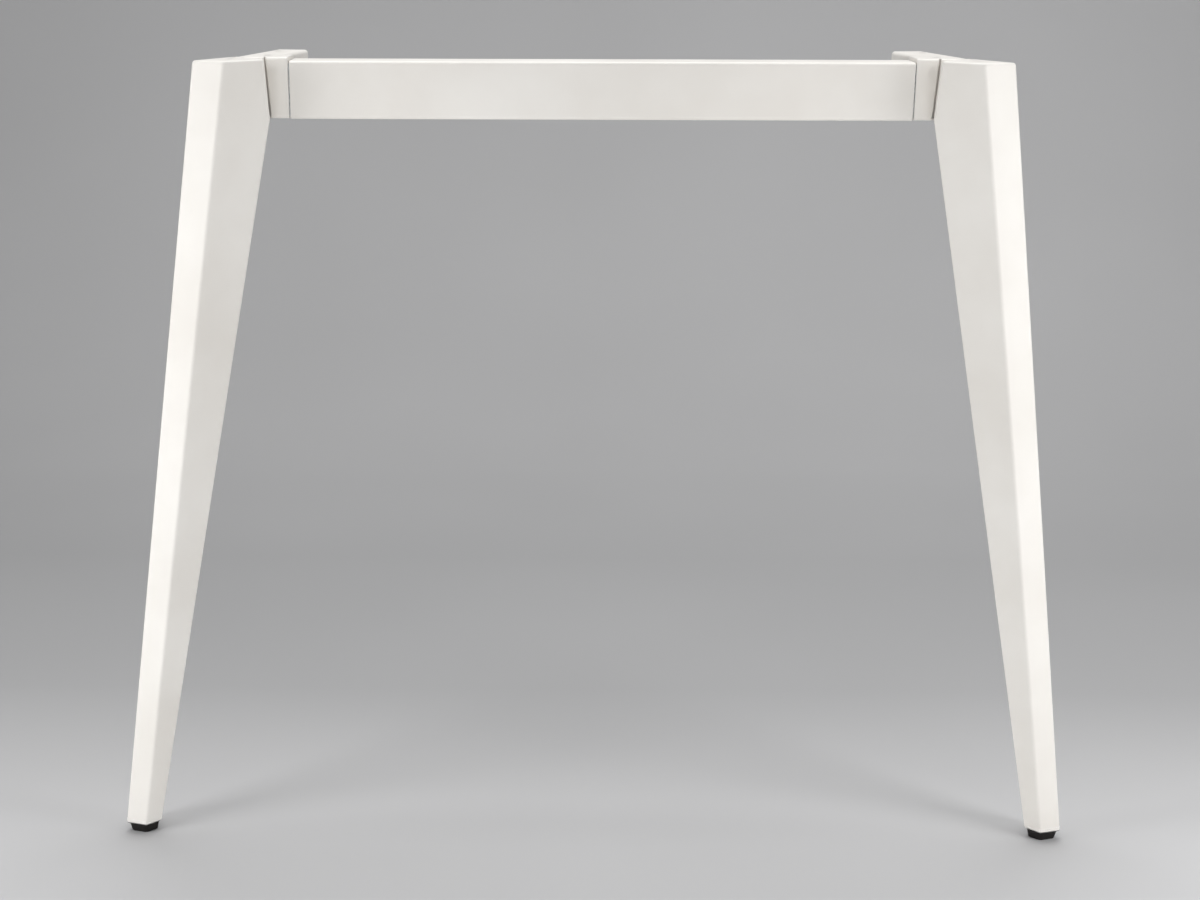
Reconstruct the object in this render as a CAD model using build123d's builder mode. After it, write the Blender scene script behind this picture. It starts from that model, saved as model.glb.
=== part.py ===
import os
from math import atan, cos, degrees, radians, sin, tan

from build123d import *

os.makedirs("parts", exist_ok=True)

# Overall heights, millimetres, floor at zero
frame_height = 715.0

# Front plane of the cross beam, with the origin under the middle of the whole frame
front_y = -31.7

# Shared steel sizes
leg_bottom_z = 10.0
leg_blank_size = 400.0
steel_wall = 2.0
bend_radius = 3.0
seam_chamfer = 1.5

# Cross beam between the two legs
beam_height = 48.0
beam_depth = 40.0
beam_drop = 3.0
beam_half_length = 263.4
beam_top_z = frame_height - beam_drop
beam_bottom_z = beam_top_z - beam_height
beam_centre_z = beam_top_z - beam_height / 2
beam_back_y = front_y + beam_depth
beam_centre_y = front_y + beam_depth / 2
beam_end_chamfer = 0.4

# Directions of the four leg faces seen from above, degrees from the beam axis
outer_face_angle = 162.0
inner_face_angle = 45.0
side_face_angle = 64.5
back_face_angle = 127.5

# Left leg at the top, placed from the beam's end and front plane
leg_top_beyond_beam = 45.5
leg_top_lead = 56.9
leg_top_front_x = -beam_half_length - leg_top_beyond_beam
leg_top_front_y = front_y - leg_top_lead
leg_top_outer_width = 29.8
leg_top_inner_width = 41.8

# Left leg at the bottom
leg_splay = 112.9
leg_bottom_lead = 11.8
leg_bottom_front_x = leg_top_front_x - leg_splay
leg_bottom_front_y = front_y - leg_bottom_lead
leg_bottom_outer_width = 22.3
leg_bottom_inner_width = 18.4

# The inner edge stands upright beside the connector and slants below it
knee_drop = 50.5
knee_inner_width = 55.1
knee_z = frame_height - knee_drop

# Plates that close the leg
cap_thickness = 4.0
cap_edge_chamfer = 1.2
foot_plate_thickness = 3.0
cap_seat_z = frame_height - cap_thickness
foot_plate_top_z = leg_bottom_z + foot_plate_thickness

# Rubber foot
foot_top_inset = 1.7
foot_bottom_inset = 3.3
foot_corner_chamfer = 2.0
foot_head_seat = 5.2
foot_head_recess = 0.9

# Foot fastener
foot_screw_diameter = 5.0
foot_screw_length = 13.0
foot_head_diameter = 8.5
foot_socket_size = 4.0
foot_socket_depth = 2.4
foot_nut_size = 8.0
foot_nut_height = 4.4
foot_hole_clearance = 0.2

# Rear arm
arm_lean = 9.5
arm_width = 29.0
arm_height = 50.0
arm_beyond_beam = 31.8
arm_axis_x = -beam_half_length - arm_beyond_beam
arm_reach = 117.5
arm_centre_z = frame_height - arm_height / 2

# Tabletop bolt holes through the arm
top_hole_radius = 3.5
top_hole_beyond_beam = 21.6
top_hole_set_back = 28.5
top_hole_x = beam_half_length + top_hole_beyond_beam
top_hole_front_y = front_y + top_hole_set_back
top_hole_spacing_y = 65.0
top_access_radius = 6.5

# Side bolt holes through the arm
side_hole_radius = 4.5
side_hole_reach = 61.5
side_hole_drop = 8.5
side_hole_top_z = frame_height - side_hole_drop
side_hole_spacing_z = 25.0

# Arm end cap
arm_cap_plate = 2.5
arm_cap_plug_depth = 12.0
arm_cap_plug_wall = 1.6
arm_cap_clearance = 0.1
arm_cap_chamfer = 0.9

# Connector collar between arm, leg and beam
connector_gap = 0.4
connector_front_width = 42.0
connector_plate_thickness = 4.0
connector_back_y = front_y + connector_plate_thickness
connector_plate_x = -beam_half_length - connector_gap - connector_front_width
connector_edge_chamfer = 0.4
connector_long_radius = 2.2
connector_height = 50.5

# Spigot that carries the beam
spigot_clearance = 0.3
spigot_wall = 3.0
spigot_reach = 90.0

# Beam fasteners
beam_screw_diameter = 6.0
beam_screw_first = 25.0
beam_screw_set_back = 5.0
beam_screw_pitch = 40.0
beam_screw_length = 14.0
beam_head_diameter = 12.0
beam_head_height = 1.8
beam_head_chamfer = 0.9
beam_screw_y = beam_centre_y + beam_screw_set_back
beam_socket_size = 4.0
beam_socket_depth = 3.2
beam_nut_size = 10.0
beam_nut_height = 5.0
beam_hole_clearance = 0.3
thread_gap = 0.05


def along(start, angle, distance):
    """Point reached from start by going a distance in a plan direction."""
    return (
        start[0] + distance * cos(radians(angle)),
        start[1] + distance * sin(radians(angle)),
    )


def leg_section(front, outer_width, inner_width):
    """Four corners of the leg seen from above: front, outer, back, inner."""
    outer = along(front, outer_face_angle, outer_width)
    inner = along(front, inner_face_angle, inner_width)
    gap_x = inner[0] - outer[0]
    gap_y = inner[1] - outer[1]
    turn = sin(radians(back_face_angle - side_face_angle))
    back_part = gap_x * sin(radians(back_face_angle)) - gap_y * cos(radians(back_face_angle))
    back = along(outer, side_face_angle, back_part / turn)
    return [front, outer, back, inner]


def leg_plane(start, end, start_z, lower, lower_z):
    """Plane of a leg face through a level edge and a lower point, facing out of the leg."""
    direction = Vector(end[0] - start[0], end[1] - start[1], 0)
    slope = Vector(lower[0] - start[0], lower[1] - start[1], lower_z - start_z)
    return Plane(
        origin=(start[0], start[1], start_z),
        x_dir=direction,
        z_dir=direction.cross(slope),
    )


def blend(top_value, bottom_value, share):
    """Value part of the way down the leg."""
    return top_value + (bottom_value - top_value) * share


# Corner points of the left leg at its three levels
knee_share = knee_drop / (frame_height - leg_bottom_z)
top_points = leg_section(
    (leg_top_front_x, leg_top_front_y),
    leg_top_outer_width,
    leg_top_inner_width,
)
bottom_points = leg_section(
    (leg_bottom_front_x, leg_bottom_front_y),
    leg_bottom_outer_width,
    leg_bottom_inner_width,
)
knee_points = leg_section(
    (
        blend(leg_top_front_x, leg_bottom_front_x, knee_share),
        blend(leg_top_front_y, leg_bottom_front_y, knee_share),
    ),
    blend(leg_top_outer_width, leg_bottom_outer_width, knee_share),
    knee_inner_width,
)
foot_x = sum(point[0] for point in bottom_points) / len(bottom_points)
foot_y = sum(point[1] for point in bottom_points) / len(bottom_points)

# Planes of the leg's faces, the back one in two parts that meet at the knee
leg_faces = [
    leg_plane(top_points[0], top_points[1], frame_height, bottom_points[0], leg_bottom_z),
    leg_plane(top_points[1], top_points[2], frame_height, bottom_points[1], leg_bottom_z),
    leg_plane(top_points[2], top_points[3], frame_height, knee_points[2], knee_z),
    leg_plane(knee_points[2], knee_points[3], knee_z, bottom_points[2], leg_bottom_z),
    leg_plane(top_points[3], top_points[0], frame_height, knee_points[3], knee_z),
]

# Full outer form of the left leg, used to shape it and everything fitted against it
with BuildPart() as leg_form:
    with BuildSketch(Plane.XY.offset(leg_bottom_z)):
        with Locations((leg_top_front_x, leg_top_front_y)):
            Rectangle(leg_blank_size, leg_blank_size)
    extrude(amount=frame_height - leg_bottom_z)
    for leg_face in leg_faces:
        split(bisect_by=leg_face, keep=Keep.BOTTOM)
    folded_edges = leg_form.edges().filter_by(lambda edge: abs(edge.tangent_at(0.5).Z) > 0.7)
    fillet(folded_edges.sort_by(Axis.Y)[:-2], bend_radius)
    seam_edges = leg_form.edges().filter_by(lambda edge: abs(edge.tangent_at(0.5).Z) > 0.7)
    chamfer(seam_edges.sort_by(Axis.Y)[-2:], seam_chamfer)

# Hollow inside the left leg
with BuildPart() as leg_hollow:
    with BuildSketch(Plane.XY.offset(leg_bottom_z)):
        with Locations((leg_top_front_x, leg_top_front_y)):
            Rectangle(leg_blank_size, leg_blank_size)
    extrude(amount=frame_height - leg_bottom_z)
    for leg_face in leg_faces:
        split(bisect_by=leg_face.offset(-steel_wall), keep=Keep.BOTTOM)

# Tapered hollow leg, folded from sheet steel
with BuildPart() as left_leg:
    add(leg_form.part)
    add(leg_hollow.part, mode=Mode.SUBTRACT)
    split(bisect_by=Plane.XY.offset(cap_seat_z), keep=Keep.BOTTOM)

# Plate that closes the top of the leg
with BuildPart() as left_leg_cap:
    add(leg_form.part)
    split(bisect_by=Plane.XY.offset(cap_seat_z), keep=Keep.TOP)
    chamfer(left_leg_cap.edges().group_by(Axis.Z)[-1], cap_edge_chamfer)

# Plate that closes the foot end of the leg
with BuildPart() as left_foot_plate:
    add(leg_hollow.part)
    split(bisect_by=Plane.XY.offset(foot_plate_top_z), keep=Keep.BOTTOM)
    with Locations((foot_x, foot_y, foot_plate_top_z)):
        Hole(foot_screw_diameter / 2 + foot_hole_clearance)

# Rubber foot, narrower than the leg and drawn in towards the floor
foot_taper = degrees(atan((foot_bottom_inset - foot_top_inset) / leg_bottom_z))
with BuildPart() as left_foot:
    with BuildSketch(Plane.XY.offset(leg_bottom_z)) as foot_crown:
        with BuildLine():
            Polyline(*bottom_points, close=True)
        make_face()
        offset(amount=-foot_top_inset, kind=Kind.INTERSECTION, mode=Mode.REPLACE)
        chamfer(foot_crown.vertices(), foot_corner_chamfer)
    extrude(amount=-leg_bottom_z, taper=foot_taper)
    with Locations((foot_x, foot_y, leg_bottom_z)):
        Hole(foot_screw_diameter / 2 + foot_hole_clearance)
    with BuildSketch(Plane.XY):
        with Locations((foot_x, foot_y)):
            Circle(foot_head_diameter / 2 + foot_hole_clearance)
    extrude(amount=foot_head_seat, mode=Mode.SUBTRACT)

# Screw that holds each foot, one at either end of the frame
with BuildPart() as foot_screws:
    for side in (-1, 1):
        with BuildSketch(Plane.XY.offset(foot_head_recess)):
            with Locations((-side * foot_x, foot_y)):
                Circle(foot_head_diameter / 2)
        extrude(amount=foot_head_seat - foot_head_recess)
        with BuildSketch(Plane.XY.offset(foot_head_seat)):
            with Locations((-side * foot_x, foot_y)):
                Circle(foot_screw_diameter / 2)
        extrude(amount=foot_screw_length)
        with BuildSketch(Plane.XY.offset(foot_head_recess)):
            with Locations((-side * foot_x, foot_y)):
                RegularPolygon(foot_socket_size / 2, 6, major_radius=False)
        extrude(amount=foot_socket_depth, mode=Mode.SUBTRACT)

# Weld nut above each foot plate
with BuildPart() as foot_nuts:
    for side in (-1, 1):
        with BuildSketch(Plane.XY.offset(foot_plate_top_z)):
            with Locations((-side * foot_x, foot_y)):
                RegularPolygon(foot_nut_size / 2, 6, major_radius=False)
                Circle(foot_screw_diameter / 2 + thread_gap, mode=Mode.SUBTRACT)
        extrude(amount=foot_nut_height)

# Planes of the rear arm and of the inner face of the leg
arm_direction = Vector(sin(radians(arm_lean)), cos(radians(arm_lean)), 0)
arm_across = Vector(cos(radians(arm_lean)), -sin(radians(arm_lean)), 0)
arm_root = Plane(
    origin=(arm_axis_x, front_y, arm_centre_z),
    x_dir=arm_across,
    z_dir=arm_direction,
)
arm_length = arm_reach / cos(radians(arm_lean)) - arm_cap_plate
arm_end = arm_root.offset(arm_length)
side_hole_plane = Plane(
    origin=(
        arm_axis_x + side_hole_reach * tan(radians(arm_lean)),
        front_y + side_hole_reach,
        side_hole_top_z,
    ),
    x_dir=(0, 0, 1),
    z_dir=arm_across,
)
leg_slope = Vector(
    leg_bottom_front_x - leg_top_front_x,
    leg_bottom_front_y - leg_top_front_y,
    leg_bottom_z - frame_height,
)
inner_direction = Vector(cos(radians(inner_face_angle)), sin(radians(inner_face_angle)), 0)
inner_face = Plane(
    origin=(leg_top_front_x, leg_top_front_y, frame_height),
    x_dir=inner_direction,
    z_dir=inner_direction.cross(leg_slope),
)

# Rear arm, a short rectangular tube welded to the back of the leg
with BuildPart() as left_arm:
    with BuildSketch(arm_root):
        RectangleRounded(arm_width, arm_height, bend_radius)
        Rectangle(
            arm_width - 2 * steel_wall,
            arm_height - 2 * steel_wall,
            mode=Mode.SUBTRACT,
        )
    extrude(amount=arm_length)
    split(bisect_by=Plane.ZX.offset(connector_back_y), keep=Keep.TOP)
    add(leg_form.part, mode=Mode.SUBTRACT)
    split(bisect_by=inner_face, keep=Keep.TOP)
    with BuildSketch(Plane.XY.offset(frame_height)):
        with Locations((-top_hole_x, top_hole_front_y)):
            Circle(top_hole_radius)
        with Locations((-top_hole_x, top_hole_front_y + top_hole_spacing_y)):
            Circle(top_hole_radius)
    extrude(amount=-2 * steel_wall, mode=Mode.SUBTRACT)
    with BuildSketch(Plane.XY.offset(frame_height - arm_height)):
        with Locations((-top_hole_x, top_hole_front_y)):
            Circle(top_access_radius)
        with Locations((-top_hole_x, top_hole_front_y + top_hole_spacing_y)):
            Circle(top_access_radius)
    extrude(amount=2 * steel_wall, mode=Mode.SUBTRACT)
    with BuildSketch(side_hole_plane):
        Circle(side_hole_radius)
        with Locations((-side_hole_spacing_z, 0)):
            Circle(side_hole_radius)
    extrude(amount=arm_width, both=True, mode=Mode.SUBTRACT)

# Plastic cap pushed into the far end of the arm
with BuildPart() as left_arm_cap:
    with BuildSketch(arm_end):
        RectangleRounded(arm_width, arm_height, bend_radius)
    extrude(amount=arm_cap_plate)
    plug_width = arm_width - 2 * steel_wall - 2 * arm_cap_clearance
    plug_height = arm_height - 2 * steel_wall - 2 * arm_cap_clearance
    with BuildSketch(arm_end):
        Rectangle(plug_width, plug_height)
        Rectangle(
            plug_width - 2 * arm_cap_plug_wall,
            plug_height - 2 * arm_cap_plug_wall,
            mode=Mode.SUBTRACT,
        )
    extrude(amount=-arm_cap_plug_depth)
    chamfer(left_arm_cap.edges().group_by(Axis(arm_end.origin, arm_direction))[-1], arm_cap_chamfer)

# Tube stub that enters the beam
spigot_depth = beam_depth - 2 * steel_wall - 2 * spigot_clearance
spigot_height = beam_height - 2 * steel_wall - 2 * spigot_clearance
spigot_end_x = -beam_half_length + spigot_reach
arm_side_front_x = arm_axis_x + arm_width / 2 / cos(radians(arm_lean))
arm_side_back_x = arm_side_front_x + beam_depth * tan(radians(arm_lean))
with BuildPart() as left_spigot:
    with BuildSketch(Plane.YZ.offset(arm_side_front_x)):
        with Locations((beam_centre_y, beam_centre_z)):
            Rectangle(spigot_depth, spigot_height)
            Rectangle(
                spigot_depth - 2 * spigot_wall,
                spigot_height - 2 * spigot_wall,
                mode=Mode.SUBTRACT,
            )
    extrude(amount=spigot_end_x - arm_side_front_x)
    with BuildSketch(Plane.XY.offset(frame_height)):
        with BuildLine():
            Polyline(
                (arm_side_front_x, front_y),
                (arm_side_back_x, beam_back_y),
                (arm_side_front_x - arm_width, beam_back_y),
                (arm_side_front_x - arm_width, front_y),
                close=True,
            )
        make_face()
    extrude(amount=-beam_height - beam_drop, mode=Mode.SUBTRACT)
    add(leg_form.part, mode=Mode.SUBTRACT)
    for step in (0, 1):
        with Locations((
            -beam_half_length + beam_screw_first + step * beam_screw_pitch,
            beam_screw_y,
            beam_centre_z - spigot_height / 2,
        )):
            Cylinder(
                beam_screw_diameter / 2 + beam_hole_clearance,
                2 * spigot_wall,
                mode=Mode.SUBTRACT,
            )

# Collar around the spigot between leg and beam, its front plate closing the arm
connector_inner_x = arm_side_front_x + connector_plate_thickness * tan(radians(arm_lean))
with BuildPart() as left_connector:
    with BuildSketch(Plane.XY.offset(frame_height)):
        with BuildLine():
            Polyline(
                (connector_plate_x, front_y),
                (-beam_half_length - connector_gap, front_y),
                (-beam_half_length - connector_gap, beam_back_y),
                (arm_side_back_x, beam_back_y),
                (connector_inner_x, connector_back_y),
                (connector_plate_x, connector_back_y),
                close=True,
            )
        make_face()
    extrude(amount=-connector_height)
    collar_edges = left_connector.edges().filter_by(Axis.X).group_by(Axis.Y)
    fillet(collar_edges[0] + collar_edges[-1], connector_long_radius)
    chamfer(left_connector.faces().sort_by(Axis.X)[-1].edges(), connector_edge_chamfer)
    with BuildSketch(Plane.YZ.offset(arm_side_front_x)):
        with Locations((beam_centre_y, beam_centre_z)):
            Rectangle(spigot_depth, spigot_height)
    extrude(amount=beam_depth, mode=Mode.SUBTRACT)
    add(leg_form.part, mode=Mode.SUBTRACT)

# Cross beam, rectangular steel tube
with BuildPart() as crossbeam:
    with BuildSketch(Plane.YZ.offset(-beam_half_length)):
        with Locations((beam_centre_y, beam_centre_z)):
            RectangleRounded(beam_depth, beam_height, bend_radius)
    extrude(amount=2 * beam_half_length)
    chamfer(crossbeam.faces().sort_by(Axis.X)[0].edges(), beam_end_chamfer)
    chamfer(crossbeam.faces().sort_by(Axis.X)[-1].edges(), beam_end_chamfer)
    with BuildSketch(Plane.YZ.offset(-beam_half_length)):
        with Locations((beam_centre_y, beam_centre_z)):
            Rectangle(beam_depth - 2 * steel_wall, beam_height - 2 * steel_wall)
    extrude(amount=2 * beam_half_length, mode=Mode.SUBTRACT)
    for side in (-1, 1):
        for step in (0, 1):
            with Locations((
                side * (beam_half_length - beam_screw_first - step * beam_screw_pitch),
                beam_screw_y,
                beam_bottom_z,
            )):
                Cylinder(
                    beam_screw_diameter / 2 + beam_hole_clearance,
                    3 * steel_wall,
                    mode=Mode.SUBTRACT,
                )

# Flat-head screws from underneath that lock the beam on the spigots
with BuildPart() as beam_screws:
    for side in (-1, 1):
        for step in (0, 1):
            screw_x = side * (beam_half_length - beam_screw_first - step * beam_screw_pitch)
            with BuildSketch(Plane.XY.offset(beam_bottom_z)):
                with Locations((screw_x, beam_screw_y)):
                    Circle(beam_head_diameter / 2)
            extrude(amount=-beam_head_height)
            with BuildSketch(Plane.XY.offset(beam_bottom_z)):
                with Locations((screw_x, beam_screw_y)):
                    Circle(beam_screw_diameter / 2)
            extrude(amount=beam_screw_length)
            with BuildSketch(Plane.XY.offset(beam_bottom_z - beam_head_height)):
                with Locations((screw_x, beam_screw_y)):
                    RegularPolygon(beam_socket_size / 2, 6, major_radius=False)
            extrude(amount=beam_socket_depth, mode=Mode.SUBTRACT)
    head_edges = beam_screws.edges().filter_by(GeomType.CIRCLE).group_by(Axis.Z)[0]
    chamfer(head_edges, beam_head_chamfer)

# Weld nuts on the floor of the spigots
with BuildPart() as spigot_nuts:
    for side in (-1, 1):
        for step in (0, 1):
            nut_x = side * (beam_half_length - beam_screw_first - step * beam_screw_pitch)
            with BuildSketch(Plane.XY.offset(beam_centre_z - spigot_height / 2 + spigot_wall)):
                with Locations((nut_x, beam_screw_y)):
                    RegularPolygon(beam_nut_size / 2, 6, major_radius=False)
                    Circle(beam_screw_diameter / 2 + thread_gap, mode=Mode.SUBTRACT)
            extrude(amount=beam_nut_height)

# Right-hand pieces, mirror images of the left-hand ones
with BuildPart() as right_leg:
    mirror(left_leg.part, about=Plane.YZ)
with BuildPart() as right_leg_cap:
    mirror(left_leg_cap.part, about=Plane.YZ)
with BuildPart() as right_foot_plate:
    mirror(left_foot_plate.part, about=Plane.YZ)
with BuildPart() as right_foot:
    mirror(left_foot.part, about=Plane.YZ)
with BuildPart() as right_arm:
    mirror(left_arm.part, about=Plane.YZ)
with BuildPart() as right_arm_cap:
    mirror(left_arm_cap.part, about=Plane.YZ)
with BuildPart() as right_spigot:
    mirror(left_spigot.part, about=Plane.YZ)
with BuildPart() as right_connector:
    mirror(left_connector.part, about=Plane.YZ)

# Save every piece
pieces = {
    "crossbeam": crossbeam,
    "left_leg": left_leg,
    "right_leg": right_leg,
    "left_leg_cap": left_leg_cap,
    "right_leg_cap": right_leg_cap,
    "left_foot_plate": left_foot_plate,
    "right_foot_plate": right_foot_plate,
    "left_foot": left_foot,
    "right_foot": right_foot,
    "foot_screws": foot_screws,
    "foot_nuts": foot_nuts,
    "left_arm": left_arm,
    "right_arm": right_arm,
    "left_arm_cap": left_arm_cap,
    "right_arm_cap": right_arm_cap,
    "left_spigot": left_spigot,
    "right_spigot": right_spigot,
    "left_connector": left_connector,
    "right_connector": right_connector,
    "beam_screws": beam_screws,
    "spigot_nuts": spigot_nuts,
}
for name, piece in pieces.items():
    piece.part.label = name
    export_step(piece.part, "parts/" + name + ".step")
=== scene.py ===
import logging
import math
from collections.abc import Callable
from dataclasses import dataclass, field
from enum import Enum, IntEnum

import bpy
from mathutils import Matrix, Vector


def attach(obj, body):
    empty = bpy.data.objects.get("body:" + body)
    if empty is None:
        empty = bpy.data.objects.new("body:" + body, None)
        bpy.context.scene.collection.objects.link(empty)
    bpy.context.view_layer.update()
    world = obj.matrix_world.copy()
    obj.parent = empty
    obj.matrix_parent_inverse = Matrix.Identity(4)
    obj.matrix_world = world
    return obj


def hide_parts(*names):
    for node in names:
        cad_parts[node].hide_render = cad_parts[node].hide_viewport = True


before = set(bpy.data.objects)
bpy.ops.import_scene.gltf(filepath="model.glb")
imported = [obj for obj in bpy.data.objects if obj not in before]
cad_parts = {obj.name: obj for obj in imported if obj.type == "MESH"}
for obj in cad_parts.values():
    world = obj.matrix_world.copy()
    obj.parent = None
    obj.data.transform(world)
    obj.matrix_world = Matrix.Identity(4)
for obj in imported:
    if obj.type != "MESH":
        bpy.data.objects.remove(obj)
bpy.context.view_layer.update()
log = logging.getLogger("desk_frame")

# Points closer than this are one point, in metres
MERGE_DISTANCE = 0.00001
# Edges that turn less than this are shaded smooth
SMOOTH_ANGLE = math.radians(32)


class Side(Enum):
    """Half of the frame, with the sign that its x coordinates have."""

    LEFT = -1
    RIGHT = 1

    @property
    def word(self) -> str:
        """Name used at the start of the half's node names."""
        return self.name.lower()

    def mirrored(self, left: Vector) -> Vector:
        """Turns a point or direction of the left half into this half's own."""
        return Vector((-self.value * left.x, left.y, left.z))


class Corner(IntEnum):
    """Corners of a leg seen from above, in the order in which its section lists them."""

    FRONT = 0
    OUTER = 1
    BACK = 2
    INNER = 3


class Slot(Enum):
    """Material slots of the record."""

    STEEL = "white_steel"
    RUBBER = "black_rubber"


def linear(code: str) -> tuple[float, float, float, float]:
    """Turns an sRGB hex colour into linear light.

    Args:
        code: six hex digits, with or without a leading hash.

    Returns:
        Red, green, blue and alpha.
    """
    digits = code.lstrip("#")
    channels = [int(digits[i:i + 2], 16) / 255 for i in (0, 2, 4)]
    lit = [c / 12.92 if c <= 0.04045 else ((c + 0.055) / 1.055) ** 2.4 for c in channels]
    return (lit[0], lit[1], lit[2], 1.0)


def add_node(
    tree: bpy.types.NodeTree,
    kind: str,
    settings: dict[str, object] | None = None,
    inputs: dict[str | int, object] | None = None,
) -> bpy.types.Node:
    """Adds a node with its settings, values and links.

    Args:
        tree: node tree that receives the node.
        kind: Blender's name of the node type.
        settings: properties of the node itself.
        inputs: a value or an output socket for each named or numbered input.

    Returns:
        The new node.
    """
    node = tree.nodes.new(kind)
    for name, value in (settings or {}).items():
        setattr(node, name, value)
    for name, value in (inputs or {}).items():
        if isinstance(value, bpy.types.NodeSocket):
            tree.links.new(value, node.inputs[name])
        else:
            node.inputs[name].default_value = value
    return node


def set_ramp(
    node: bpy.types.Node, stops: list[tuple[float, tuple[float, float, float, float]]]
) -> None:
    """Gives a colour ramp its stops.

    Args:
        node: the colour ramp node.
        stops: place and colour of each stop, from low to high.
    """
    ramp = node.color_ramp
    while len(ramp.elements) < len(stops):
        ramp.elements.new(0.5)
    for element, (place, colour) in zip(ramp.elements, stops):
        element.position = place
        element.color = colour


def start_material(
    name: str,
) -> tuple[bpy.types.Material, bpy.types.NodeTree, bpy.types.Node, bpy.types.NodeSocket]:
    """Makes a material with a shader and the coordinates of the piece.

    Args:
        name: name of the material.

    Returns:
        The material, its node tree, its shader and the coordinates in metres.
    """
    mat = bpy.data.materials.new(name)
    mat.use_nodes = True
    tree = mat.node_tree
    place = add_node(tree, "ShaderNodeTexCoord").outputs["Object"]
    return mat, tree, tree.nodes["Principled BSDF"], place


@dataclass(frozen=True)
class PowderCoatedSteel:
    """Folded mild steel under a baked polyester powder coat.

    The finish can soften sharp edges by itself, on pieces whose meshes have no roundings.
    """

    name: str = "powder_coated_steel"
    body_hex: str = "#F1EEE9"
    shade_hex: str = "#E9E5DF"
    # Colour of the painted highlight along the edges
    edge_highlight_hex: str = "#F8F6F3"
    roughness: float = 0.42
    smoother: float = 0.03
    rougher: float = 0.05
    peel_mm: float = 2.2
    peel_height: float = 0.0002
    peel_strength: float = 0.10
    mottle_mm: float = 90.0
    mottle_low: float = 0.3
    mottle_high: float = 0.7
    edge_radius: float = 0.0012
    edge_bend: float = 0.86
    refraction: float = 1.5
    soften: bool = True

    def material(self) -> bpy.types.Material:
        """Makes the material.

        Baked powder flows into a fine orange peel. A painted highlight makes the coat a little
        lighter along edges, and its shade and sheen vary faintly over a hand's width.

        Returns:
            The material.
        """
        mat, tree, shader, place = start_material(self.name)
        # Faint differences a hand's width across, as sprayed powder settles
        mottle = add_node(
            tree,
            "ShaderNodeTexNoise",
            inputs={"Vector": place, "Scale": 1000 / self.mottle_mm, "Detail": 3.0},
        )
        tint = add_node(tree, "ShaderNodeValToRGB", inputs={"Fac": mottle.outputs["Fac"]})
        set_ramp(
            tint,
            [(self.mottle_low, linear(self.shade_hex)), (self.mottle_high, linear(self.body_hex))],
        )
        # Rounded edges, found where the bevelled normal leaves the flat one, take a painted
        # highlight
        soft = add_node(tree, "ShaderNodeBevel", {"samples": 4}, {"Radius": self.edge_radius})
        flat = add_node(tree, "ShaderNodeNewGeometry")
        bend = add_node(
            tree,
            "ShaderNodeVectorMath",
            {"operation": "DOT_PRODUCT"},
            {0: soft.outputs["Normal"], 1: flat.outputs["True Normal"]},
        )
        edge = add_node(
            tree,
            "ShaderNodeMapRange",
            inputs={"Value": bend.outputs["Value"], "From Min": 1.0, "From Max": self.edge_bend},
        )
        # Painted highlight: the colour turns lighter along the rounded edges
        colour = add_node(
            tree,
            "ShaderNodeMix",
            {"data_type": "RGBA"},
            {
                "Factor": edge.outputs["Result"],
                "A": tint.outputs["Color"],
                "B": linear(self.edge_highlight_hex),
            },
        )
        tree.links.new(colour.outputs["Result"], shader.inputs["Base Color"])
        # The peel of satin powder is near 1.5 mm from crest to crest, drawn larger to show
        peel = add_node(
            tree,
            "ShaderNodeTexNoise",
            inputs={
                "Vector": place,
                "Scale": 1000 / self.peel_mm,
                "Detail": 2.0,
                "Roughness": 0.45,
            },
        )
        rough = add_node(
            tree,
            "ShaderNodeMapRange",
            inputs={
                "Value": mottle.outputs["Fac"],
                "From Min": self.mottle_low,
                "From Max": self.mottle_high,
                "To Min": self.roughness - self.smoother,
                "To Max": self.roughness + self.rougher,
            },
        )
        tree.links.new(rough.outputs["Result"], shader.inputs["Roughness"])
        skin = add_node(
            tree,
            "ShaderNodeBump",
            inputs={
                "Strength": self.peel_strength,
                "Distance": self.peel_height,
                "Height": peel.outputs["Fac"],
            },
        )
        if self.soften:
            tree.links.new(soft.outputs["Normal"], skin.inputs["Normal"])
        tree.links.new(skin.outputs["Normal"], shader.inputs["Normal"])
        shader.inputs["IOR"].default_value = self.refraction
        return mat


@dataclass(frozen=True)
class MouldedNylon:
    """Injection-moulded white nylon of the arm caps."""

    name: str = "moulded_nylon"
    body_hex: str = "#EFECE7"
    flow_hex: str = "#E6E2DC"
    roughness: float = 0.5
    refraction: float = 1.53
    flow_mm: float = 16.7
    flow_low: float = 0.35
    flow_high: float = 0.65
    grain_mm: float = 1.1
    grain_height: float = 0.0001
    grain_strength: float = 0.15

    def material(self) -> bpy.types.Material:
        """Makes the material.

        A spark-eroded mould leaves an even, fine grain and a soft sheen, and the
        plastic shows faint flow marks.

        Returns:
            The material.
        """
        mat, tree, shader, place = start_material(self.name)
        flow = add_node(
            tree,
            "ShaderNodeTexNoise",
            inputs={"Vector": place, "Scale": 1000 / self.flow_mm, "Detail": 2.0},
        )
        tint = add_node(tree, "ShaderNodeValToRGB", inputs={"Fac": flow.outputs["Fac"]})
        set_ramp(
            tint,
            [(self.flow_low, linear(self.flow_hex)), (self.flow_high, linear(self.body_hex))],
        )
        tree.links.new(tint.outputs["Color"], shader.inputs["Base Color"])
        # Mould grain is near 0.3 mm, drawn larger so that it shows
        grain = add_node(
            tree, "ShaderNodeTexVoronoi", inputs={"Vector": place, "Scale": 1000 / self.grain_mm}
        )
        skin = add_node(
            tree,
            "ShaderNodeBump",
            inputs={
                "Strength": self.grain_strength,
                "Distance": self.grain_height,
                "Height": grain.outputs["Distance"],
            },
        )
        tree.links.new(skin.outputs["Normal"], shader.inputs["Normal"])
        shader.inputs["Roughness"].default_value = self.roughness
        shader.inputs["IOR"].default_value = self.refraction
        return mat


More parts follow.
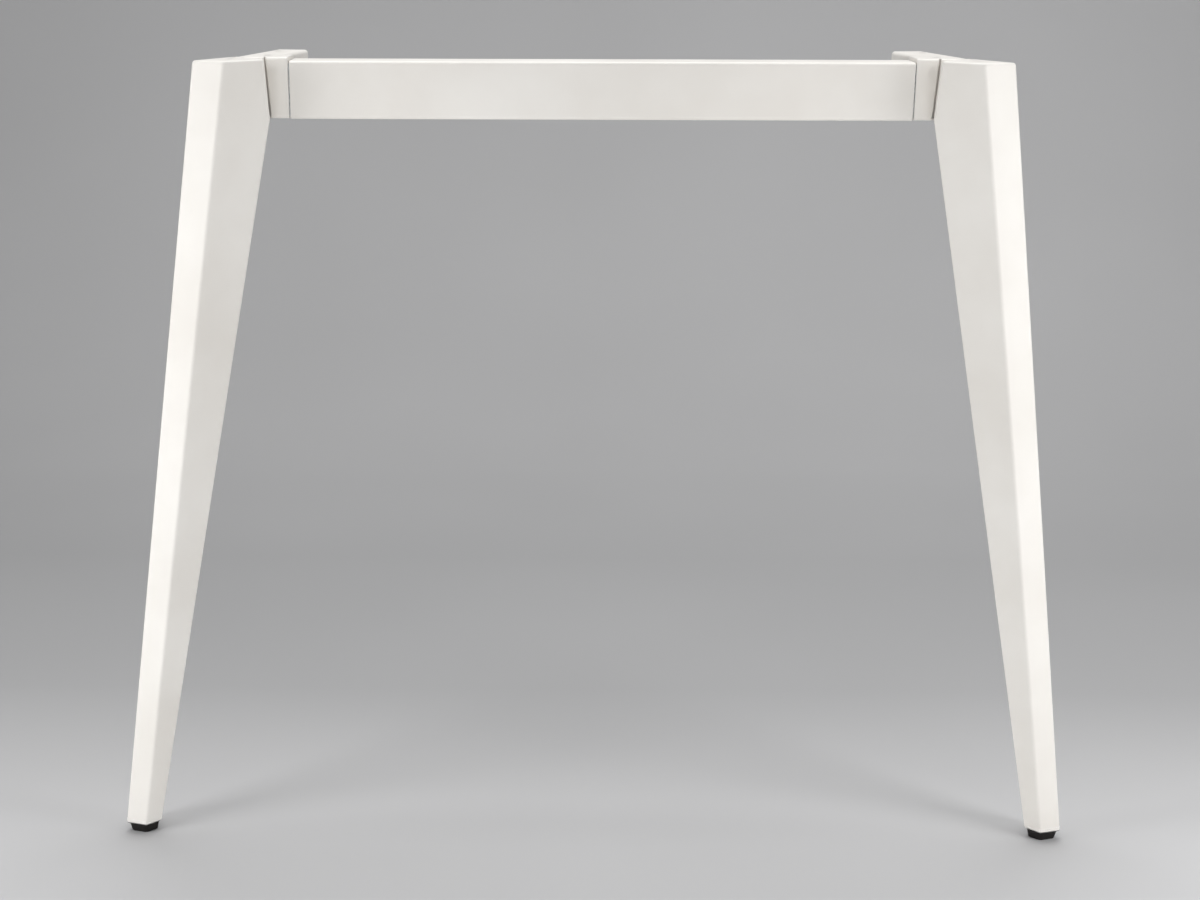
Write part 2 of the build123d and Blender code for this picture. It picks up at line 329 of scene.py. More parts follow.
@dataclass(frozen=True)
class MouldedRubber:
    """Compression-moulded black rubber of the feet."""

    name: str = "moulded_rubber"
    body_hex: str = "#0F0B0A"
    bloom_hex: str = "#181311"
    roughness: float = 0.62
    refraction: float = 1.52
    gloss: float = 0.32
    bloom_mm: float = 6.25
    bloom_low: float = 0.4
    bloom_high: float = 0.75
    grain_mm: float = 0.9
    grain_height: float = 0.0002
    grain_strength: float = 0.3

    def material(self) -> bpy.types.Material:
        """Makes the material.

        The rubber is nearly black with a faint bloom in patches, and a fine mould grain
        breaks up its low sheen.

        Returns:
            The material.
        """
        mat, tree, shader, place = start_material(self.name)
        bloom = add_node(
            tree,
            "ShaderNodeTexNoise",
            inputs={"Vector": place, "Scale": 1000 / self.bloom_mm, "Detail": 4.0},
        )
        tint = add_node(tree, "ShaderNodeValToRGB", inputs={"Fac": bloom.outputs["Fac"]})
        set_ramp(
            tint,
            [(self.bloom_low, linear(self.body_hex)), (self.bloom_high, linear(self.bloom_hex))],
        )
        tree.links.new(tint.outputs["Color"], shader.inputs["Base Color"])
        # Mould grain is near 0.2 mm, drawn larger so that it shows
        grain = add_node(
            tree,
            "ShaderNodeTexNoise",
            inputs={"Vector": place, "Scale": 1000 / self.grain_mm, "Detail": 2.0},
        )
        skin = add_node(
            tree,
            "ShaderNodeBump",
            inputs={
                "Strength": self.grain_strength,
                "Distance": self.grain_height,
                "Height": grain.outputs["Fac"],
            },
        )
        tree.links.new(skin.outputs["Normal"], shader.inputs["Normal"])
        shader.inputs["Roughness"].default_value = self.roughness
        shader.inputs["IOR"].default_value = self.refraction
        shader.inputs["Specular IOR Level"].default_value = self.gloss
        return mat


@dataclass(frozen=True)
class ZincPlate:
    """Bright zinc plate on pressed and turned steel."""

    name: str = "bright_zinc_plate"
    body_hex: str = "#C9CCCE"
    dull_hex: str = "#A9ACAD"
    roughness: float = 0.3
    dull_rise: float = 0.12
    cloud_mm: float = 3.0
    cloud_low: float = 0.35
    cloud_high: float = 0.65
    sheen_low: float = 0.3
    sheen_high: float = 0.7

    def material(self) -> bpy.types.Material:
        """Makes the material.

        Plated steel is bright with a cool grey cloud where the passivation is thicker,
        and its roughness follows the cloud.

        Returns:
            The material.
        """
        mat, tree, shader, place = start_material(self.name)
        cloud = add_node(
            tree,
            "ShaderNodeTexNoise",
            inputs={"Vector": place, "Scale": 1000 / self.cloud_mm, "Detail": 3.0},
        )
        tint = add_node(tree, "ShaderNodeValToRGB", inputs={"Fac": cloud.outputs["Fac"]})
        set_ramp(
            tint,
            [(self.cloud_low, linear(self.dull_hex)), (self.cloud_high, linear(self.body_hex))],
        )
        tree.links.new(tint.outputs["Color"], shader.inputs["Base Color"])
        rough = add_node(
            tree,
            "ShaderNodeMapRange",
            inputs={
                "Value": cloud.outputs["Fac"],
                "From Min": self.sheen_low,
                "From Max": self.sheen_high,
                "To Min": self.roughness + self.dull_rise,
                "To Max": self.roughness,
            },
        )
        tree.links.new(rough.outputs["Result"], shader.inputs["Roughness"])
        shader.inputs["Metallic"].default_value = 1.0
        return mat


@dataclass(frozen=True)
class StudioPaper:
    """Seamless studio paper under and behind the frame.

    Its seen tones are painted light and shade, which run from the near to the far end in depth and
    brighten to the right.
    """

    name: str = "studio_paper"
    paper_hex: str = "#C8C8C8"
    front_hex: str = "#C8C8C9"
    painted_shade_hex: str = "#B0B0B1"
    sweep_hex: str = "#BFBFC0"
    painted_wall_light_hex: str = "#CCCCCD"
    near: float = -0.2
    far: float = 2.5
    aside_width: float = 1.1
    painted_light_rise: float = 0.16
    ripple_mm: float = 400.0
    ripple_low: float = 0.90
    ripple_high: float = 0.96
    roughness: float = 0.9
    gloss: float = 0.2

    def material(self) -> bpy.types.Material:
        """Makes the material.

        The paper is matt and even for the light that it throws back, and the camera and
        reflections see painted shade behind the frame and painted light up the wall and to the
        right.

        Returns:
            The material.
        """
        mat, tree, shader, place = start_material(self.name)
        spot = add_node(tree, "ShaderNodeSeparateXYZ", inputs={"Vector": place})
        depth = add_node(
            tree,
            "ShaderNodeMapRange",
            inputs={"Value": spot.outputs["Y"], "From Min": self.near, "From Max": self.far},
        )
        # Painted shade darkens the paper behind the frame and painted light brightens the wall,
        # along the depth
        painted_light_and_shade = add_node(tree, "ShaderNodeValToRGB", inputs={"Fac": depth.outputs["Result"]})
        set_ramp(
            painted_light_and_shade,
            [
                (0.05, linear(self.front_hex)),
                (0.20, linear(self.painted_shade_hex)),
                (0.38, linear(self.painted_shade_hex)),
                (0.55, linear(self.sweep_hex)),
                (0.96, linear(self.painted_wall_light_hex)),
            ],
        )
        # Painted light brightens the paper towards the right
        aside = add_node(
            tree,
            "ShaderNodeMapRange",
            inputs={
                "Value": spot.outputs["X"],
                "From Min": 0.0,
                "From Max": self.aside_width,
                "To Min": 1.0,
                "To Max": 1.0 + self.painted_light_rise,
            },
        )
        # Painted shade of ripples in the paper, a little over a forearm's length
        ripple = add_node(
            tree,
            "ShaderNodeTexNoise",
            inputs={"Vector": place, "Scale": 1000 / self.ripple_mm, "Detail": 1.0},
        )
        painted_ripple_shade = add_node(
            tree,
            "ShaderNodeMapRange",
            inputs={
                "Value": ripple.outputs["Fac"],
                "To Min": self.ripple_low,
                "To Max": self.ripple_high,
            },
        )
        gain = add_node(
            tree,
            "ShaderNodeMath",
            {"operation": "MULTIPLY"},
            {0: aside.outputs["Result"], 1: painted_ripple_shade.outputs["Result"]},
        )
        painted_light_colour = add_node(
            tree,
            "ShaderNodeVectorMath",
            {"operation": "SCALE"},
            {0: painted_light_and_shade.outputs["Color"], "Scale": gain.outputs["Value"]},
        )
        # Only the camera and reflections see the painted light and shade; light bounced off the
        # paper keeps the plain colour
        path = add_node(tree, "ShaderNodeLightPath")
        mirror = add_node(
            tree,
            "ShaderNodeMath",
            {"operation": "MAXIMUM"},
            {0: path.outputs["Is Glossy Ray"], 1: path.outputs["Is Transmission Ray"]},
        )
        view = add_node(
            tree,
            "ShaderNodeMath",
            {"operation": "MAXIMUM"},
            {0: path.outputs["Is Camera Ray"], 1: mirror.outputs["Value"]},
        )
        colour = add_node(
            tree,
            "ShaderNodeMix",
            {"data_type": "RGBA"},
            {
                "Factor": view.outputs["Value"],
                "A": linear(self.paper_hex),
                "B": painted_light_colour.outputs["Vector"],
            },
        )
        tree.links.new(colour.outputs["Result"], shader.inputs["Base Color"])
        shader.inputs["Roughness"].default_value = self.roughness
        shader.inputs["Specular IOR Level"].default_value = self.gloss
        return mat


def dress(node: str, material: bpy.types.Material) -> None:
    """Gives a CAD node its finish.

    Args:
        node: name of the CAD node.
        material: finish for all its slots.
    """
    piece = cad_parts[node]
    for slot in piece.material_slots:
        slot.material = material
    log.info("dressed %s with %s", node, material.name)


def select_only(piece: bpy.types.Object) -> None:
    """Makes one object the only selected and the active one.

    Args:
        piece: the object.
    """
    bpy.ops.object.select_all(action="DESELECT")
    piece.select_set(True)
    bpy.context.view_layer.objects.active = piece


def settle(
    piece: bpy.types.Object, name: str, material: bpy.types.Material
) -> None:
    """Names a finished piece, puts its place into its mesh and joins it to the frame.

    Args:
        piece: the object just modelled.
        name: its name.
        material: its finish.
    """
    select_only(piece)
    bpy.ops.object.transform_apply(location=True, rotation=True, scale=True)
    piece.name = name
    piece.data.name = name
    piece.data.materials.clear()
    piece.data.materials.append(material)
    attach(piece, "root")
    log.info("built %s", name)


@dataclass
class Finishes:
    """Every finish, made once and shared."""

    coat: bpy.types.Material = field(default_factory=lambda: PowderCoatedSteel().material())
    leg_coat: bpy.types.Material = field(
        default_factory=lambda: PowderCoatedSteel(name="powder_coated_leg", soften=False).material()
    )
    nylon: bpy.types.Material = field(default_factory=lambda: MouldedNylon().material())
    rubber: bpy.types.Material = field(default_factory=lambda: MouldedRubber().material())
    zinc: bpy.types.Material = field(default_factory=lambda: ZincPlate().material())


def heading(angle: float) -> Vector:
    """Unit vector of a plan direction.

    Args:
        angle: degrees from the beam axis.

    Returns:
        The level vector.
    """
    return Vector((math.cos(math.radians(angle)), math.sin(math.radians(angle)), 0))


def crossing(start: Vector, way: Vector, other: Vector, other_way: Vector) -> float:
    """Finds how far along one line another line crosses it, both seen from above.

    Args:
        start: a point on the line.
        way: its direction.
        other: a point on the other line.
        other_way: the other line's direction.

    Returns:
        The distance from start, in lengths of way.
    """
    gap = other - start
    turn = way.x * other_way.y - way.y * other_way.x
    return (gap.x * other_way.y - gap.y * other_way.x) / turn


def round_edges(offset: float, segments: int, chosen: Callable[[Vector, Vector], bool]) -> None:
    """Rounds the edges of the active mesh that a test picks.

    Args:
        offset: distance from the edge to where the rounding starts, in metres.
        segments: facets across the rounding.
        chosen: test of an edge's two ends.
    """
    piece = bpy.context.active_object
    bpy.ops.object.mode_set(mode="EDIT")
    bpy.ops.mesh.select_mode(type="EDGE")
    bpy.ops.mesh.select_all(action="DESELECT")
    bpy.ops.object.mode_set(mode="OBJECT")
    points = piece.data.vertices
    for edge in piece.data.edges:
        edge.select = chosen(points[edge.vertices[0]].co, points[edge.vertices[1]].co)
    bpy.ops.object.mode_set(mode="EDIT")
    bpy.ops.mesh.bevel(
        offset=offset, offset_type="OFFSET", segments=segments, profile=0.5, affect="EDGES"
    )
    bpy.ops.object.mode_set(mode="OBJECT")


def cut_blank(
    centre: Vector, size: tuple[float, float, float], faces: list[tuple[Vector, Vector]]
) -> bpy.types.Object:
    """Cuts a block along the planes of a form.

    Args:
        centre: the block's middle.
        size: the block's size.
        faces: a point and the outward normal of each plane.

    Returns:
        The cut block, active and selected.
    """
    bpy.ops.object.select_all(action="DESELECT")
    bpy.ops.mesh.primitive_cube_add(size=1, location=centre, scale=size)
    bpy.ops.object.transform_apply(location=True, rotation=True, scale=True)
    blank = bpy.context.active_object
    bpy.ops.object.mode_set(mode="EDIT")
    for place, normal in faces:
        bpy.ops.mesh.select_all(action="SELECT")
        bpy.ops.mesh.bisect(plane_co=place, plane_no=normal, use_fill=True, clear_outer=True)
    bpy.ops.mesh.select_all(action="SELECT")
    bpy.ops.mesh.remove_doubles(threshold=MERGE_DISTANCE)
    bpy.ops.mesh.normals_make_consistent(inside=False)
    bpy.ops.object.mode_set(mode="OBJECT")
    return blank


def merged_copy(node: str, name: str) -> bpy.types.Object:
    """Copies a CAD node's mesh and merges its loose triangles into whole faces.

    Args:
        node: name of the CAD node.
        name: name of the copy.

    Returns:
        The copy, active and selected.
    """
    piece = bpy.data.objects.new(name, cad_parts[node].data.copy())
    bpy.context.scene.collection.objects.link(piece)
    select_only(piece)
    bpy.ops.object.mode_set(mode="EDIT")
    bpy.ops.mesh.select_all(action="SELECT")
    bpy.ops.mesh.remove_doubles(threshold=MERGE_DISTANCE)
    bpy.ops.object.mode_set(mode="OBJECT")
    return piece


def cut_away(piece: bpy.types.Object, core: bpy.types.Object) -> None:
    """Cuts one solid out of another and removes the cutter.

    Args:
        piece: the solid that is cut.
        core: the cutter.
    """
    select_only(piece)
    bpy.ops.object.modifier_add(type="BOOLEAN")
    sink = piece.modifiers[-1]
    sink.operation = "DIFFERENCE"
    sink.object = core
    bpy.ops.object.modifier_apply(modifier=sink.name)
    bpy.data.objects.remove(core)


def even_shading() -> None:
    """Shades the active mesh smooth over its roundings and keeps its flat faces flat."""
    flat_face_weight = 80
    bpy.ops.object.shade_smooth()
    bpy.ops.object.modifier_add(type="WEIGHTED_NORMAL")
    modifier = bpy.context.active_object.modifiers[-1]
    modifier.keep_sharp = False
    modifier.weight = flat_face_weight
    bpy.ops.object.modifier_apply(modifier=modifier.name)


@dataclass
class WeldBead:
    """A run of weld under the powder coat, with the ripples of its puddle.

    The bead swells from its end to the full radius, and narrows to the waist between ripples.
    """

    name: str
    start: Vector
    end: Vector
    radius: float = 0.0019
    ripple: float = 0.0024
    end_share: float = 0.6
    first_swell: float = 1.45
    waist: float = 0.82
    sides: int = 10

    def build(self, finishes: Finishes) -> None:
        """Models the bead from one ring, extruded ripple by ripple.

        Args:
            finishes: the shared finishes.
        """
        run = self.end - self.start
        turns = run.to_track_quat("Z", "Y").to_euler()
        steps = round(run.length / (self.ripple / 2))
        step = run / steps
        bpy.ops.object.select_all(action="DESELECT")
        bpy.ops.mesh.primitive_circle_add(
            vertices=self.sides,
            radius=self.radius * self.end_share,
            fill_type="NGON",
            location=self.start,
            rotation=turns,
        )
        bead = bpy.context.active_object
        bpy.ops.object.mode_set(mode="EDIT")
        bpy.ops.mesh.select_all(action="SELECT")
        for i in range(steps):
            bpy.ops.mesh.extrude_region_move(TRANSFORM_OT_translate={"value": step})
            swell = self.waist if i % 2 else 1 / self.waist
            if i == 0:
                swell = self.first_swell
            bpy.ops.transform.resize(
                value=(swell, swell, swell), center_override=self.start + step * (i + 1)
            )
        bpy.ops.mesh.select_all(action="SELECT")
        bpy.ops.mesh.normals_make_consistent(inside=False)
        bpy.ops.object.mode_set(mode="OBJECT")
        bpy.ops.object.shade_smooth()
        settle(bead, self.name, finishes.coat)


@dataclass
class Leg:
    """A tapered leg, folded from sheet, with its welded end plates.

    Every length is in metres, for the left leg, and angles are plan directions in degrees.
    """

    side: Side
    height: float = 0.715
    bottom: float = 0.010
    blank_size: float = 0.4
    blank_x: float = 0.365
    top_corner: tuple[float, float] = (-0.3089, -0.0886)
    bottom_corner: tuple[float, float] = (-0.4218, -0.0435)
    outer_angle: float = 162.0
    inner_angle: float = 45.0
    side_angle: float = 64.5
    back_angle: float = 127.5
    outer_widths: tuple[float, float] = (0.0298, 0.0223)
    inner_widths: tuple[float, float] = (0.0418, 0.0184)
    knee_drop: float = 0.0505
    knee_inner_width: float = 0.0551
    fold_radius: float = 0.003
    seam_radius: float = 0.0015
    fold_facets: int = 5
    shortest_fold: float = 0.04
    rim_setback: float = 0.0022
    rim_facets: int = 4
    hem_setback: float = 0.0006
    hem_facets: int = 2
    wall: float = 0.002
    recess: float = 0.003

    def section(self, height: float) -> list[Vector]:
        """Finds the leg's corners at one height.

        Args:
            height: height above the floor.

        Returns:
            Front, outer, back and inner corner.
        """
        share = (self.height - height) / (self.height - self.bottom)
        knee_share = self.knee_drop / (self.height - self.bottom)
        top_front = Vector((*self.top_corner, self.height))
        low_front = Vector((*self.bottom_corner, self.bottom))
        front = top_front.lerp(low_front, share)
        outer_width = self.outer_widths[0] + (self.outer_widths[1] - self.outer_widths[0]) * share
        if share <= knee_share:
            start, stop = self.inner_widths[0], self.knee_inner_width
            part = share / knee_share
        else:
            start, stop = self.knee_inner_width, self.inner_widths[1]
            part = (share - knee_share) / (1 - knee_share)
        outer = front + heading(self.outer_angle) * outer_width
        inner = front + heading(self.inner_angle) * (start + (stop - start) * part)
        side_way = heading(self.side_angle)
        back = outer + side_way * crossing(outer, side_way, inner, heading(self.back_angle))
        return [front, outer, back, inner]

    def faces(self) -> list[tuple[Vector, Vector]]:
        """Finds a point and the outward normal of each of the leg's faces.

        Returns:
            Outer, side, upper back, lower back and inner face, on this leg's side.
        """
        top = self.section(self.height)
        knee = self.section(self.height - self.knee_drop)
        low = self.section(self.bottom)
        corners = [
            (top[0], top[1], low[0]),
            (top[1], top[2], low[1]),
            (top[2], top[3], knee[2]),
            (knee[2], knee[3], low[2]),
            (top[3], top[0], knee[3]),
        ]
        found = []
        for start, stop, below in corners:
            normal = (stop - start).cross(below - start).normalized()
            found.append((self.side.mirrored(start), self.side.mirrored(normal)))
        return found

    def folds(self) -> list[tuple[Corner, float, float]]:
        """Finds what rounds each of the leg's long edges, in the order of the work.

        Returns:
            Corner, radius of its rounding and angle between its two faces in degrees.
        """
        return [
            (Corner.FRONT, self.fold_radius, self.outer_angle - self.inner_angle),
            (Corner.OUTER, self.fold_radius, 180 - self.outer_angle + self.side_angle),
            (Corner.INNER, self.fold_radius, 180 - self.back_angle + self.inner_angle),
            (Corner.BACK, self.seam_radius, self.back_angle - self.side_angle),
        ]

    def corner_at(self, place: Vector) -> Corner:
        """Tells which corner line of the leg a point lies nearest to.

        Args:
            place: a point on the leg.

        Returns:
            The corner.
        """
        left = Vector((-abs(place.x), place.y, place.z))
        gaps = [(corner - left).length for corner in self.section(place.z)]
        return Corner(gaps.index(min(gaps)))

    def build(self, finishes: Finishes) -> None:
        """Models the leg by cutting a blank along its faces and rounding the folds.

        Args:
            finishes: the shared finishes.
        """
        tall = self.height - self.bottom
        across = self.side.value * self.blank_x
        centre = Vector((across, self.top_corner[1], self.bottom + tall / 2))
        skin = cut_blank(centre, (self.blank_size, self.blank_size, tall), self.faces())
        # The folds at front, outer and inner corners, then the tighter welded seam at the back
        for corner, radius, angle in self.folds():
            round_edges(
                radius / math.tan(math.radians(angle / 2)),
                self.fold_facets,
                lambda a, b: abs(a.z - b.z) > self.shortest_fold
                and self.corner_at((a + b) / 2) == corner,
            )
        crown = self.height - MERGE_DISTANCE
        hem = self.bottom + MERGE_DISTANCE
        round_edges(self.rim_setback, self.rim_facets, lambda a, b: min(a.z, b.z) > crown)
        round_edges(self.hem_setback, self.hem_facets, lambda a, b: max(a.z, b.z) < hem)
        # Open lower end, with the foot plate's recess inside the wall
        downward = -0.9
        for face in skin.data.polygons:
            face.select = face.normal.z < downward and face.center.z < hem
        bpy.ops.object.mode_set(mode="EDIT")
        bpy.ops.mesh.select_mode(type="FACE")
        bpy.ops.mesh.inset(thickness=self.wall)
        bpy.ops.mesh.extrude_region_move(TRANSFORM_OT_translate={"value": (0, 0, self.recess)})
        bpy.ops.mesh.select_all(action="SELECT")
        bpy.ops.mesh.normals_make_consistent(inside=False)
        bpy.ops.object.mode_set(mode="OBJECT")
        even_shading()
        word = self.side.word
        settle(skin, f"{word}_leg_skin", finishes.leg_coat)
        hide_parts(f"{word}_leg", f"{word}_leg_cap")
        dress(f"{word}_leg", finishes.leg_coat)
        dress(f"{word}_leg_cap", finishes.leg_coat)
        dress(f"{word}_foot_plate", finishes.coat)


@dataclass
class Foot:
    """A rubber foot under a leg, drawn in towards the floor, with a recess for its screw."""

    leg: Leg
    crown_inset: float = 0.0017
    sole_inset: float = 0.0033
    corner_setback: float = 0.003
    corner_facets: int = 5
    rim_setback: float = 0.0008
    rim_facets: int = 3
    recess_radius: float = 0.00445
    recess_depth: float = 0.0052
    recess_sides: int = 48
    blank_size: float = 0.08

    def faces(self) -> list[tuple[Vector, Vector]]:
        """Finds a point and the outward normal of each side of the foot.

        Returns:
            Outer, side, back and inner side, on this foot's half of the frame.
        """
        corners = self.leg.section(self.leg.bottom)
        fall = Vector((0, 0, -self.leg.bottom))
        found = []
        for start, stop in zip(corners, corners[1:] + corners[:1]):
            run = stop - start
            out = run.cross(Vector((0, 0, -1))).normalized()
            crown = start - out * self.crown_inset
            sole = start - out * self.sole_inset + fall
            normal = run.cross(sole - crown).normalized()
            found.append((self.leg.side.mirrored(crown), self.leg.side.mirrored(normal)))
        return found

    def build(self, finishes: Finishes) -> None:
        """Models the foot by cutting a blank along its sides, rounding it and sinking the recess.

        Args:
            finishes: the shared finishes.
        """
        word = self.leg.side.word
        corners = self.leg.section(self.leg.bottom)
        middle = self.leg.side.mirrored(sum(corners, Vector()) / len(corners))
        tall = self.leg.bottom
        centre = Vector((middle.x, middle.y, tall / 2))
        foot = cut_blank(centre, (self.blank_size, self.blank_size, tall), self.faces())
        upright = tall / 2
        level = tall / 8
        round_edges(
            self.corner_setback, self.corner_facets, lambda a, b: abs(a.z - b.z) > upright
        )
        round_edges(self.rim_setback, self.rim_facets, lambda a, b: abs(a.z - b.z) < level)
        bpy.ops.mesh.primitive_cylinder_add(
            vertices=self.recess_sides,
            radius=self.recess_radius,
            depth=2 * self.recess_depth,
            location=(middle.x, middle.y, 0),
        )
        cut_away(foot, bpy.context.active_object)
        bpy.ops.object.shade_smooth_by_angle(angle=SMOOTH_ANGLE)
        settle(foot, f"{word}_foot_rubber", finishes.rubber)
        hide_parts(f"{word}_foot")
        dress(f"{word}_foot", finishes.rubber)


@dataclass
class RearArm:
    """A short rear arm with its end cap and the welds that hold it to the leg."""

    leg: Leg
    axis: tuple[float, float] = (-0.2952, -0.0317)
    lean: float = 9.5
    width: float = 0.029
    height: float = 0.050
    weld_inset: float = 0.003
    under_weld_end: float = 0.004

    def meeting(self, across: float, height: float) -> Vector:
        """Finds where a line along the arm meets the back of the leg.

        Args:
            across: distance from the arm's axis, outwards negative.
            height: height above the floor.

        Returns:
            The point, on this arm's side.
        """
        way = heading(90 - self.lean)
        start = Vector((*self.axis, height)) + heading(-self.lean) * across
        _, outer, back, inner = self.leg.section(height)
        # The arm's outer side can pass the back seam, where the leg's side face takes over
        for corner, end in ((back, inner), (outer, back)):
            run = end - corner
            spot = start + way * crossing(start, way, corner, run)
            share = (spot - corner).dot(run) / run.length_squared
            if 0 <= share <= 1:
                break
        return self.leg.side.mirrored(spot)

    def build(self, finishes: Finishes) -> None:
        """Dresses the arm and its cap, and welds the arm to the leg.

        Args:
            finishes: the shared finishes.
        """
        word = self.leg.side.word
        dress(f"{word}_arm", finishes.coat)
        dress(f"{word}_arm_cap", finishes.nylon)
        top = self.leg.height
        low = top - self.height
        inset = self.weld_inset
        outside = -self.width / 2
        welds = {
            "side": (self.meeting(outside, top - inset), self.meeting(outside, low + inset)),
            "under": (self.meeting(outside + inset, low), self.meeting(self.under_weld_end, low)),
        }
        for name, (start, end) in welds.items():
            WeldBead(f"{word}_{name}_weld", start, end).build(finishes)


@dataclass
class Collar:
    """The collar between leg and beam, with the slanted joint beside the leg.

    Heights and distances from the middle of the frame are in metres.
    """

    side: Side
    front: float = -0.0317
    plate: float = 0.004
    joint_top: float = 0.28365
    joint_bottom: float = 0.28025
    joint_width: float = 0.0018
    top: float = 0.715
    height: float = 0.0505
    beam_end: float = 0.2634
    end_gap: float = 0.0010
    web: float = 0.0004
    through: float = 0.1
    overshoot: float = 1.1

    def cutter(self, x: float, depth: float, width: float, lean: float) -> bpy.types.Object:
        """Models an upright bar that cuts into the collar from its front.

        Args:
            x: distance of its middle from the middle of the frame.
            depth: how far it reaches in from the front.
            width: its size along the beam.
            lean: tilt in the beam's plane, in radians.

        Returns:
            The bar.
        """
        bpy.ops.mesh.primitive_cube_add(
            size=1,
            location=(self.side.value * x, self.front, self.top - self.height / 2),
            scale=(width, 2 * depth, self.height * self.overshoot),
        )
        core = bpy.context.active_object
        core.rotation_euler = (0, self.side.value * lean, 0)
        return core

    def build(self, finishes: Finishes) -> None:
        """Opens the joints at the leg and at the beam in a merged copy of the collar.

        Args:
            finishes: the shared finishes.
        """
        node = f"{self.side.word}_connector"
        collar = merged_copy(node, f"{self.side.word}_collar")
        middle = (self.joint_top + self.joint_bottom) / 2
        lean = math.atan2(self.joint_top - self.joint_bottom, self.height)
        cut_away(collar, self.cutter(middle, self.plate - self.web, self.joint_width, lean))
        cut_away(collar, self.cutter(self.beam_end, self.through, 2 * self.end_gap, 0.0))
        bpy.ops.object.shade_smooth_by_angle(angle=SMOOTH_ANGLE)
        settle(collar, f"{self.side.word}_collar", finishes.coat)
        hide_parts(node)
        dress(node, finishes.coat)


@dataclass
class Beam:
    """The cross beam with the spigots inside its ends."""

    def build(self, finishes: Finishes) -> None:
        """Dresses the beam and the spigots.

        Args:
            finishes: the shared finishes.
        """
        dress("crossbeam", finishes.coat)
        for side in Side:
            dress(f"{side.word}_spigot", finishes.zinc)


@dataclass
class Fasteners:
    """Screws and weld nuts of the feet and of the beam."""

    nodes: tuple[str, ...] = ("foot_screws", "foot_nuts", "beam_screws", "spigot_nuts")

    def build(self, finishes: Finishes) -> None:
        """Dresses the screws and nuts.

        Args:
            finishes: the shared finishes.
        """
        for node in self.nodes:
            dress(node, finishes.zinc)


@dataclass(frozen=True)
class SoftBox:
    """A rectangular lamp in metres and watts, with the angle that its grid lets out in radians."""

    name: str
    place: tuple[float, float, float]
    aim: tuple[float, float, float]
    size: tuple[float, float]
    power: float
    spread: float = math.pi

    def build(self) -> None:
        """Adds the lamp to the scene, turned towards its aim."""
        data = bpy.data.lights.new(self.name, "AREA")
        data.shape = "RECTANGLE"
        data.size, data.size_y = self.size
        data.energy = self.power
        data.spread = self.spread
        box = bpy.data.objects.new(self.name, data)
        way = Vector(self.aim) - Vector(self.place)
        box.location = self.place
        box.rotation_euler = way.to_track_quat("-Z", "Y").to_euler()
        bpy.context.scene.collection.objects.link(box)
        log.info("placed %s", self.name)


